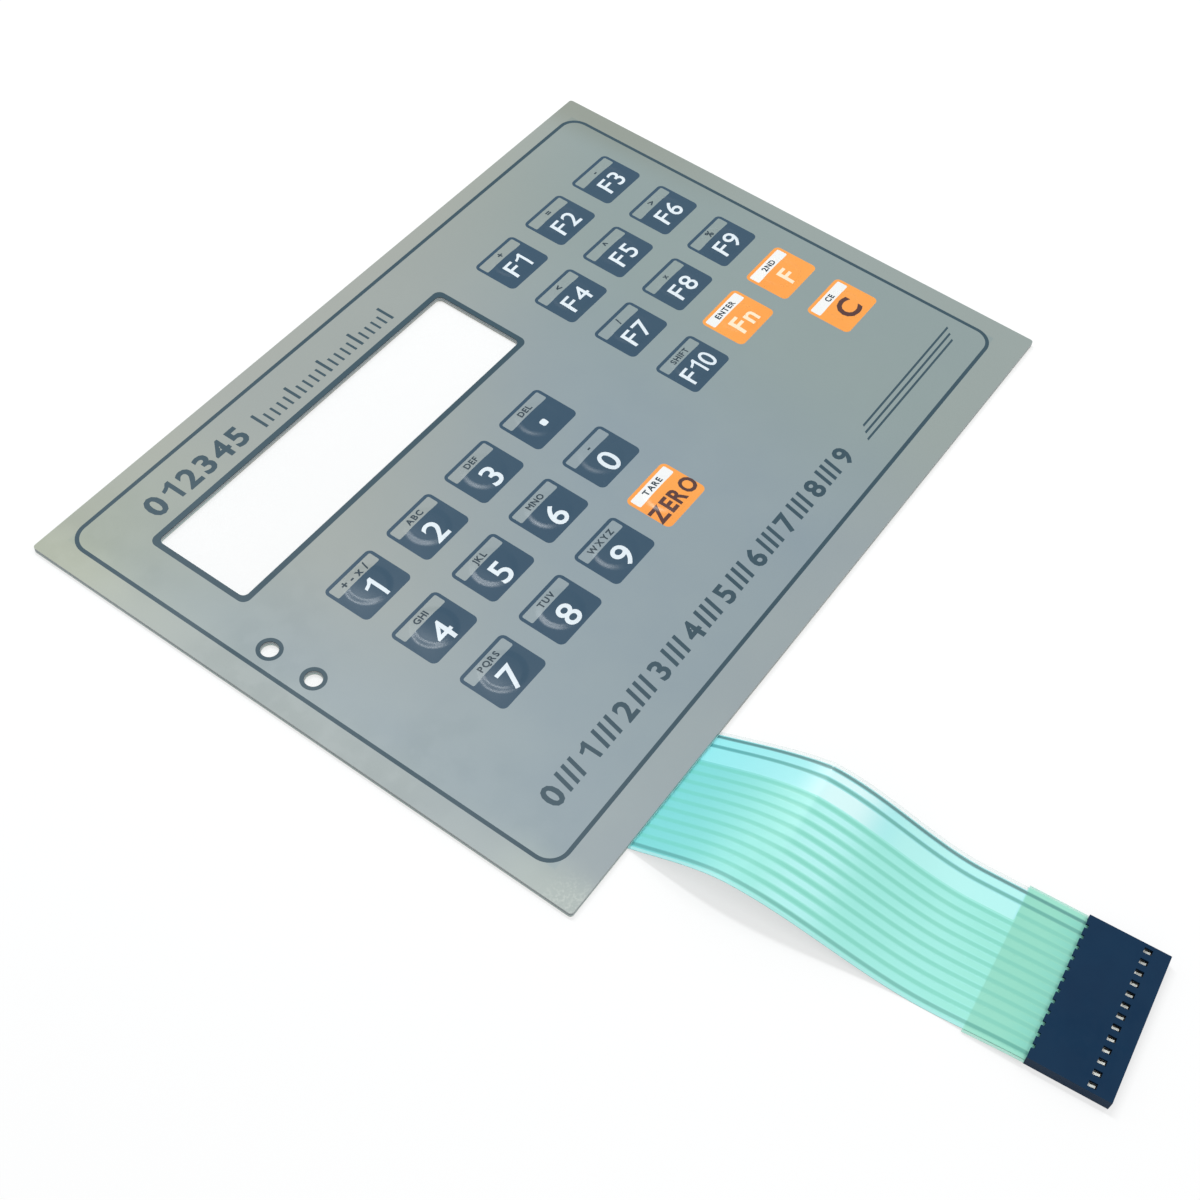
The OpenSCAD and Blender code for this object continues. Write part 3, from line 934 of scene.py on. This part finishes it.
# %% Shader group for colours that change along the tail
TAIL_STATIONS = ("Exit colour", "Free colour", "Stiff colour")
tail_colours, given = new_group("tail_colours", {
    "Vector": ORIGIN, "Exit": exit_place, "Skew": TAIL_SKEW, "Faded by": 0.028,
    "Stiff from": STIFF_FROM * MM, **dict.fromkeys(TAIL_STATIONS, WHITE)}, SHADING)
along, across = along_and_across(given["Vector"], given)
free = ramp(along, 0.0, given["Faded by"])
stiff = ramp(along - given["Stiff from"], -0.0002, 0.0003)
colour = blend_colours(free, given["Exit colour"], given["Free colour"])
colour = blend_colours(stiff, colour, given["Stiff colour"])
close_group(tail_colours, {"Colour": colour, "Along": along, "Across": across})

# %% Finishes of the tail
COAT_ROUGHNESS = (0.34, 0.46)
COAT_GRAIN = (0.5, 0.0012)
COAT_DRIFT = (0.88, 0.96, 0.95)
COAT_COLOURS = ((133, 226, 226), (167, 242, 231), (152, 224, 202))
BRIGHT_COLOURS = ((158, 243, 247), (177, 244, 245), (152, 223, 202))


def tail_finish(name, colours, under=None):
    """Make a tail finish whose colour changes along it. A strip fades into the colours under it."""
    made = new_finish(name, colours[0], colours[0], COAT_ROUGHNESS, COAT_GRAIN, amount=0.35, shine=0.3)
    place = read(made, "place", "Object")

    def colours_along(three, **settings):
        return effect(tail_colours, place, dict(zip(TAIL_STATIONS, map(screen, three))), **settings)

    colour = colours_along(colours, name="stations")
    if under:
        across = put(place.tree, "ShaderNodeAttribute", attribute_name="across")["Fac"]
        fade = ramp(calc("ABSOLUTE", across), 0.3, 1.0)
        colour = blend_colours(fade, colour, colours_along(under))
    drift = vector_calc("MULTIPLY", colour, COAT_DRIFT)
    fill(place.tree.nodes["tone"], {"Colour": colour, "Drift colour": drift})
    return made


coat_ink = tail_finish("coat_ink", COAT_COLOURS)
bright_coat = tail_finish("bright_coat", BRIGHT_COLOURS)
pale_film = tail_finish("pale_film", ((176, 238, 238), (176, 240, 234), (160, 230, 208)))
covered_track = tail_finish("covered_track", ((124, 220, 211), (140, 222, 204), (136, 213, 193)),
                            COAT_COLOURS)
left_track = tail_finish("left_track", ((100, 182, 182), (124, 196, 184), (108, 184, 168)), COAT_COLOURS)
right_track = tail_finish("right_track", ((94, 180, 184), (118, 188, 180), (108, 182, 168)), BRIGHT_COLOURS)
edge_track = tail_finish("edge_track", ((92, 150, 154), (106, 148, 148), (98, 162, 154)), BRIGHT_COLOURS)

# %% Painted light and age along the tail
MARGIN_FROM = 15.5
MARGIN_ALPHA = 0.25


def tint_along(material, stops, colour, amount):
    """Tint a tail finish over a stretch of its length, with a soft start and end. Stops are in mm."""
    along = read(material, "stations", "Along") / MM
    tint(material, ramp(along, stops[0], stops[1]) * ramp(along, stops[3], stops[2]), colour, amount)


# A painted highlight lies across the crest, on the pale coat at the right and more faintly on the coat,
# and a fainter painted sheen runs on the pale coat up to the stiffener.
tint_along(bright_coat, (38, 46, STIFF_FROM - 0.5, STIFF_FROM), (188, 250, 245), 0.9)
tint_along(bright_coat, (20, 29, 33, 42), (224, 255, 255), 0.9)
tint_along(coat_ink, (22, 30, 33, 42), (196, 254, 255), 0.6)
# The coat turns greener on its way to the stiffener. Next to the socket a painted shade makes it darkest.
tint_along(coat_ink, (58, 68, STIFF_FROM, STIFF_FROM + 0.2), (158, 236, 218), 0.7)
tint_along(coat_ink, (76, 81, 90, 91), (140, 220, 202), 0.8)

# The margin right of way 1 is clear film without a coat.
not_stiff = ramp(read(pale_film, "stations", "Along") / MM, STIFF_FROM, STIFF_FROM - 0.3)
margin = ramp(read(pale_film, "stations", "Across") / MM, MARGIN_FROM, MARGIN_FROM + 0.3) * not_stiff
tint(pale_film, margin, (248, 254, 253), 0.85)
fill(pale_film.node_tree.nodes["Principled BSDF"], {"Alpha": 1 - margin * (1 - MARGIN_ALPHA)})

# %% Tree that lays a sheet on the tail's curve
TAIL_CURVE = {
    "Width": TAIL_WIDTH, "Length": TAIL_LENGTH, "Square at": SQUARE_AT, "Dip at": 61.5,
    "Middle at exit": 0.295, "Middle at socket": 1.45, "Half film": 0.075, "Thickness": 0.15,
    "Right hump at": 26.0, "Right hump": 9.9, "Right dip": 1.5,
    "Left hump at": 20.0, "Left hump": 7.2, "Left dip": 0.09}
lay_on_tail, given = new_group("lay_on_tail", {
    "Sheet": "Geometry", "Exit": exit_place, "Skew": TAIL_SKEW, "Exit slope": 0.42,
    "Right crest slope": 0.2, "Left crest slope": 0.0, "Edge": "Material",
    **{title: size * MM for title, size in TAIL_CURVE.items()}})
along, across = along_and_across(put(lay_on_tail, "GeometryNodeInputPosition"), given)
lean = across * calc("TANGENT", given["Skew"])
square = calc("DIVIDE", along - lean, given["Square at"] - lean, use_clamp=True)
length = square * given["Square at"] + calc("MAXIMUM", along - given["Square at"], 0.0)
side = calc("ADD", across / given["Width"], 0.5, use_clamp=True)


def edge_height(edge):
    """Give the height of the Right or Left edge: up to its hump, down to its dip, up to the socket."""
    hump_at, hump, dip = [given[edge + part] for part in (" hump at", " hump", " dip")]
    start, socket = given["Middle at exit"], given["Middle at socket"]
    climb = calc("DIVIDE", length, hump_at, use_clamp=True)
    left_over = 1 - climb
    early = climb * left_over * left_over * given["Exit slope"]
    late = climb * left_over * climb * given[edge + " crest slope"]
    to_hump = ramp(climb, 0.0, 1.0) * (hump - start)
    to_dip = ramp(length, hump_at, given["Dip at"]) * (dip - hump)
    to_socket = ramp(length, given["Dip at"], given["Length"]) * (socket - dip)
    return start + (early - late) * hump_at + to_hump + to_dip + to_socket


left_height = edge_height("Left")
height = left_height + (edge_height("Right") - left_height) * side + given["Half film"]
close_film(given, lift(given["Sheet"], height))

# %% The circuit film
SEAM_PITCH = 0.7
SEAM_OVERHANG = 0.4
COAT_LEFT = -15.95
COAT_RIGHT = 15.6
BRIGHT_LEFT = 8.5
BRIGHT_CORNER = 0.5
LENGTH_STEPS = 16
TURN_STEPS = 6
TINE_SLOT = (0.2, 0.8)
TINE_SIDE = 0.65
TINE_FROM = 0.9
TINE_PITCH = 1.8
TINES = 3
half_tail = TAIL_WIDTH / 2
half_tab = TAB_WIDTH / 2
film_end = TAIL_LENGTH + TAB_LENGTH


def tail_area(left, right, start, end, corner=0.0):
    """List the outline of a stretch of the tail, with its far end cut round if asked."""
    lengths = [start + (end - corner - start) * n / LENGTH_STEPS for n in range(LENGTH_STEPS + 1)]
    quarter = [math.pi / 2 * n / TURN_STEPS for n in range(1, TURN_STEPS + 1)] if corner else []
    cuts = [(corner * (1 - math.cos(turn)), corner * (1 - math.sin(turn))) for turn in quarter]
    outline = [tail_point(left, along) for along in lengths]
    outline += [tail_point(left + early, end - late) for early, late in cuts]
    outline += [tail_point(right - late, end - early) for early, late in cuts]
    return outline + [tail_point(right, along) for along in reversed(lengths)]


def root_point(across):
    """Give the point of the panel's lower edge where a line along the tail starts."""
    x, y = tail_point(across, 0)
    reach = (y - panel_low.y) * math.tan(TAIL_SKEW)
    return Vector((x + reach, panel_low.y))


def side_line(sign):
    """List the corners of one side of the tail, from the panel to the socket."""
    places = ((half_tail, 0), (half_tail, TAIL_LENGTH), (half_tab, TAIL_LENGTH), (half_tab, film_end))
    return [root_point(sign * half_tail)] + [tail_point(sign * across, along) for across, along in places]


tine_slots = []
for way in range(1, WAYS + 1):
    for left in (way_across(way) + side - TINE_SLOT[0] / 2 for side in (-TINE_SIDE, TINE_SIDE)):
        for start in (TAIL_LENGTH + TINE_FROM + TINE_PITCH * tine for tine in range(TINES)):
            slot = tail_area(left, left + TINE_SLOT[0], start, start + TINE_SLOT[1])
            tine_slots.append(slot[::LENGTH_STEPS])
cross_count = round(film_end / SEAM_PITCH)
stations = [film_end * n / cross_count for n in range(cross_count)]
seam_reach = half_tail + SEAM_OVERHANG
cross_seams = [[tail_point(-seam_reach, along), tail_point(seam_reach, along)] for along in stations[1:]]
long_seams = [[tail_point(WAY_PITCH * (n - WAYS / 2), along) for along in stations] for n in range(WAYS + 1)]
film_outlines = stencils[ground_ink] + [side_line(-1) + side_line(1)[::-1]] + stencils[clear_window]
flat_circuit = cut_sheet("circuit_film", {
    pale_film: film_outlines + tine_slots, coat_ink: [tail_area(COAT_LEFT, COAT_RIGHT, 0, film_end)],
    bright_coat: [tail_area(BRIGHT_LEFT, COAT_RIGHT, 0, STIFF_FROM, BRIGHT_CORNER)]},
    cross_seams + long_seams)
curved_circuit = grow("circuit_film", flat_circuit, (lay_on_tail, {"Edge": pale_film}))
add_piece("circuit_film", curved_circuit, "circuit_film", "lower_circuit")

# %% [markdown]
# ## Conductors under the coat
# The conductors are printed silver lines. The coat over them stands up in low, soft ridges, so each
# line is a thin domed strip. One Geometry Nodes tree puts a strip on every way, and the tail's tree
# lays all of them on the curve. An attribute that runs from -1 to 1 across each strip lets its colour
# fade into the coat at both sides.

# %% Tree for the strips
strips, given = new_group("strips", {
    "Centres": "Geometry", "Skew": TAIL_SKEW, "Width": 0.0009, "Length": 0.085, "Rise": 0.03 * MM,
    "Edge rise": 0.004 * MM, "Steps": 120, "Ink": "Material"})
strip = put(strips, "GeometryNodeMeshGrid", {
    "Size X": given["Width"], "Size Y": given["Length"], "Vertices X": 7, "Vertices Y": given["Steps"]})
place = put(strips, "GeometryNodeInputPosition")
offset = axes_of(place)["X"] / (given["Width"] / 2)
rise = (1 - offset * offset) * given["Rise"] + given["Edge rise"]
marked = put(strips, "GeometryNodeStoreNamedAttribute", {
    "Geometry": strip, "Name": "across", "Value": offset}, data_type="FLOAT", domain="POINT")
turn = put(strips, "ShaderNodeCombineXYZ", {"Z": given["Skew"]})
laid = put(strips, "GeometryNodeInstanceOnPoints", {
    "Points": given["Centres"], "Instance": lift(marked, rise), "Rotation": turn})
end_group(given, laid, given["Ink"])

# %% The conductors
STRIP_DEPTH = 0.02
STRIP_END = 84.2
STRIP_START = 0.05


def lay_strips(name, ways, width, ink, start=STRIP_START):
    """Lay a strip on each way, from a distance past the panel's edge to inside the socket."""
    length = STRIP_END - start
    centres = []
    for way in ways:
        across = way_across(way)
        shift = across * math.tan(TAIL_SKEW) if start < SQUARE_AT else 0.0
        middle = start + shift + length / 2
        centres.append(TAIL_EXIT + tail_turn @ Vector((across, -middle)))
    size = {"Width": width * MM, "Length": length * MM, "Steps": round(length / SEAM_PITCH), "Ink": ink}
    mesh = grow(name, points_mesh(centres), (strips, size),
                (lay_on_tail, {"Thickness": STRIP_DEPTH * MM, "Edge": ink}))
    add_piece(name, mesh, "circuit_film")


lay_strips("conductors", range(4, 13), 1.4, covered_track)
lay_strips("left_conductor", (13,), 1.25, left_track)
lay_strips("right_conductor", (2,), 1.25, right_track)
lay_strips("edge_conductor", (1,), 1.1, edge_track)
lay_strips("unused_way", (3,), 1.4, covered_track, STIFF_FROM)

# %% [markdown]
# ## Finishes of the other layers
# Every other layer keeps its CAD shape. From the front only their cut edges show, and from behind the
# whole liner shows. Each kind still gets the finish of the real stuff: cloudy adhesive, clear
# polyester, coated paper, spring steel. The spacer film gets a darker grey blue as painted shade, so
# that the cut walls of the display window look shaded.

# %% Layer finishes
def give(prefixes, *finish, **more):
    """Make a finish and put it on the CAD nodes whose names start with one of the prefixes."""
    material = new_finish(*finish, **more)
    found = [name for name in nodes if name.startswith(prefixes)]
    for name in found:
        for slot in nodes[name].material_slots:
            slot.material = material
    print(material.name, "on", len(found), "nodes")
    return material


give(("overlay_adhesive", "circuit_spacer", "rear_adhesive"),
     "adhesive_layer", (222, 226, 220), (204, 210, 202), (0.5, 0.62), (0.4, 0.004))
give(("dome_retainer", "upper_circuit"),
     "clear_layer", (206, 216, 214), (188, 202, 200), (0.16, 0.28), (0.3, 0.0006))
# The dome spacer is a darker grey blue as painted shade for the cut walls of the display window.
give("dome_spacer",
     "dark_layer", (126, 142, 152), (114, 130, 142), (0.42, 0.55), (0.25, 0.002))
give("tail_stiffener",
     "stiffener_layer", (178, 238, 222), (166, 230, 212), (0.2, 0.34), (0.4, 0.001), Alpha=0.55)
give("release_liner",
     "liner_layer", (236, 230, 212), (226, 218, 196), (0.5, 0.64), (0.12, 0.004), spread=45)
give("connector_housing",
     "housing_plastic", (10, 45, 74), (14, 51, 80), (0.48, 0.6), (0.12, 0.003), spread=8, shine=0.1)

# %% Metal finishes
dome_steel = give(KEY_PREFIX, "dome_steel", (206, 206, 202), (190, 192, 190), (0.26, 0.4), (0.2, 0.0008),
                  spread=6, Metallic=1.0)
contact_tin = give("contact_", "contact_tin", (146, 147, 143), (116, 117, 113), (0.26, 0.42), (0.1, 0.0008),
                   spread=2, Metallic=1.0)


def add_lines(material, stretch, size, depth):
    """Add the fine lines of rolling or drawing to a finish's own grain."""
    bump = material.node_tree.nodes["bump"]
    grain = Value(bump.inputs["Height"].links[0].from_socket)
    lines = effect(drawn_lines, read(material, "place", "Object"), {
        "Stretch": stretch, "Scale": 1 / (size * MM), "Depth": depth * MM})
    fill(bump, {"Height": grain + lines})


add_lines(dome_steel, (0.03, 1, 1), 0.05, 0.0012)
add_lines(contact_tin, (1, 0.06, 1), 0.04, 0.0012)

# %% [markdown]
# ## The size
# The visible object must keep the CAD model's size. Both boxes are printed.

# %% Size
visual_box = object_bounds()
for title, box in (("CAD", cad_box), ("visual", visual_box)):
    print(title, "box in mm:", [[round(value / MM, 2) for value in corner] for corner in box])
